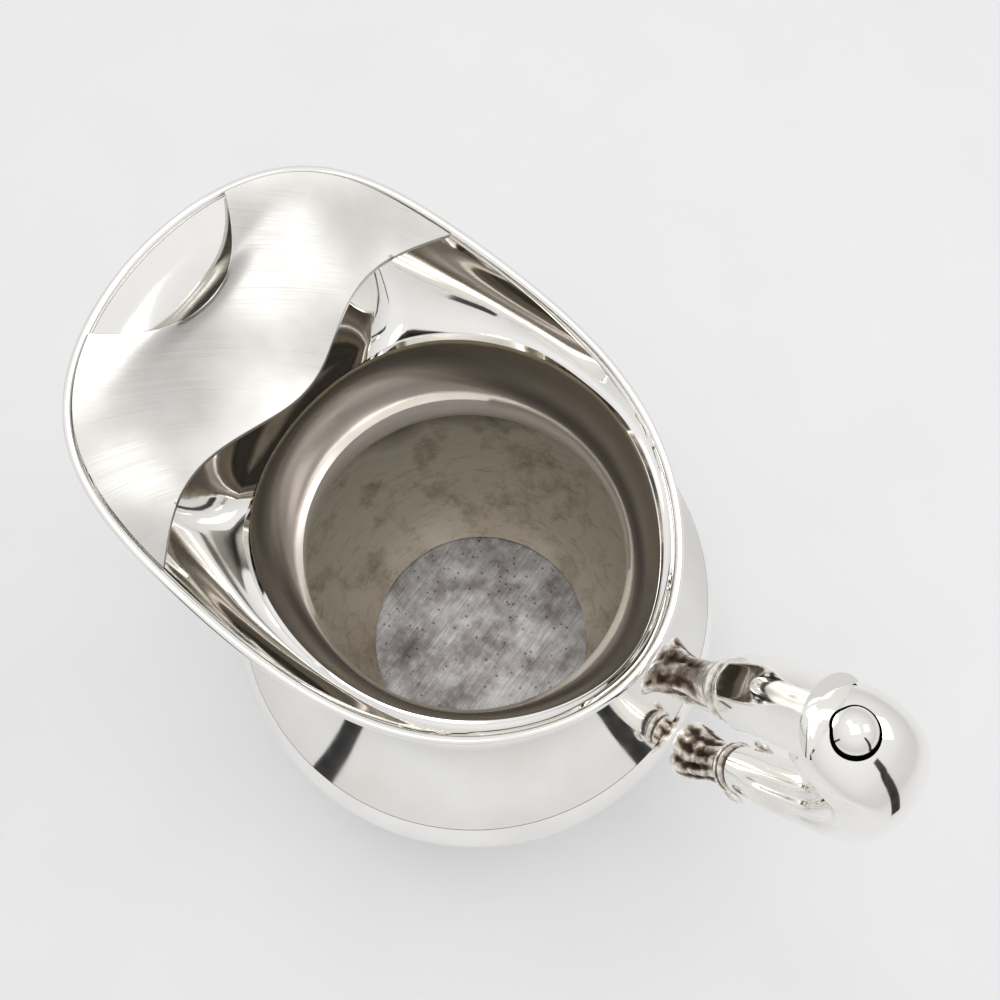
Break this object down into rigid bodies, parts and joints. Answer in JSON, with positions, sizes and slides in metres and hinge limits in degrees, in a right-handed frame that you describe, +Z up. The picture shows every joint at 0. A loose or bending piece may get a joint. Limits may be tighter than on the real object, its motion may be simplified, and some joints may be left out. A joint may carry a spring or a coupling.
{
  "type": "water pitcher",
  "caption": "Round-bellied metal water pitcher with a flared spout, a scalloped ice guard across it, a wired rim and a scrolled handle on leaf sockets.",
  "frame": {"origin": "on the table, under the middle of the whole pitcher's length and width", "axes": "+Z up, +X towards the handle, -X towards the spout, +Y to the left of the spout as the pourer sees it"},
  "size_m": [0.2266, 0.1634, 0.2208],
  "materials": {
    "polished_silver": "polished silver plate, mirror bright with fine wipe marks",
    "satin_silver": "satin silver plate with fine arc brush lines",
    "tarnished_silver": "polished silver plate with a thin warm grey-brown tarnish inside",
    "worn_floor": "worn grey silver plate, pitted and scratched",
    "oxidised_casting": "cast silver plate, bright on the high places and brown-black in the hollows"
  },
  "bodies": {
    "root": {"body_bowl": "polished_silver", "base_disc": "worn_floor", "foot_ring": "polished_silver", "neck_collar": "tarnished_silver", "spout_lip": "polished_silver", "rim_wire": "polished_silver", "ice_guard": "satin_silver", "upper_leaf_socket": "oxidised_casting", "upper_leaf_tongue": "oxidised_casting", "upper_knuckle": "oxidised_casting", "handle_upper_arm": "polished_silver", "handle_loop": "polished_silver", "scroll_ball": "polished_silver", "handle_bud_near": "oxidised_casting", "handle_bud_far": "oxidised_casting", "lower_knuckle": "oxidised_casting", "lower_leaf_socket": "oxidised_casting"}
  },
  "joints": []
}
